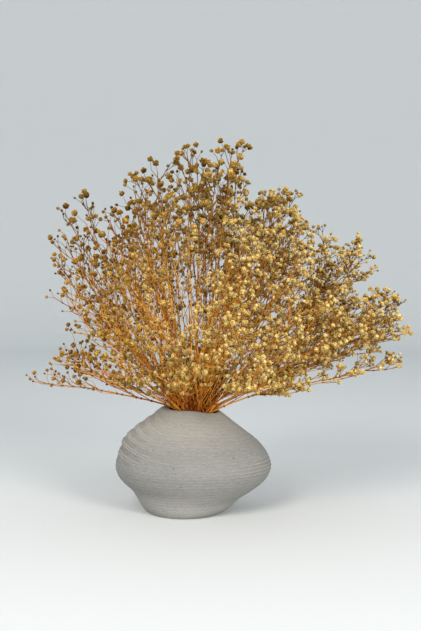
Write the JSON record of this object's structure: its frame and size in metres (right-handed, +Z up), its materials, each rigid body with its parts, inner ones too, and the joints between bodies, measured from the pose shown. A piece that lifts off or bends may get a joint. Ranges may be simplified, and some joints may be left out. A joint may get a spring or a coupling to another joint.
{
  "type": "dried gypsophila arrangement in a vase",
  "caption": "Squat pebble-shaped grey stoneware vase holding a wide, loose bunch of dried, double-flowered gypsophila stems.",
  "frame": {"origin": "middle of the vase's foot, on the surface it stands on", "axes": "+Z up; the wide front of the vase faces -Y; +X to the right as seen from the front, towards the vase's fuller side"},
  "size_m": [0.4666, 0.3096, 0.4575],
  "materials": {
    "stoneware": "matt, unglazed, fine throwing lines and dark speckles",
    "dried_plant": "matt, dried"
  },
  "bodies": {
    "root": {"vase": "stoneware", "stem_01": "dried_plant", "stem_02": "dried_plant", "stem_03": "dried_plant", "stem_04": "dried_plant", "stem_05": "dried_plant", "stem_06": "dried_plant", "stem_07": "dried_plant", "stem_08": "dried_plant", "stem_09": "dried_plant", "stem_10": "dried_plant", "stem_11": "dried_plant", "stem_12": "dried_plant", "stem_13": "dried_plant", "stem_14": "dried_plant", "stem_15": "dried_plant", "stem_16": "dried_plant", "stem_17": "dried_plant", "stem_18": "dried_plant", "stem_19": "dried_plant", "stem_20": "dried_plant", "stem_21": "dried_plant", "stem_22": "dried_plant", "stem_23": "dried_plant", "stem_24": "dried_plant", "stem_25": "dried_plant", "stem_26": "dried_plant", "stem_27": "dried_plant", "stem_28": "dried_plant", "stem_29": "dried_plant", "stem_30": "dried_plant", "stem_31": "dried_plant", "stem_32": "dried_plant", "stem_33": "dried_plant", "stem_34": "dried_plant", "stem_35": "dried_plant", "stem_36": "dried_plant"}
  },
  "joints": []
}
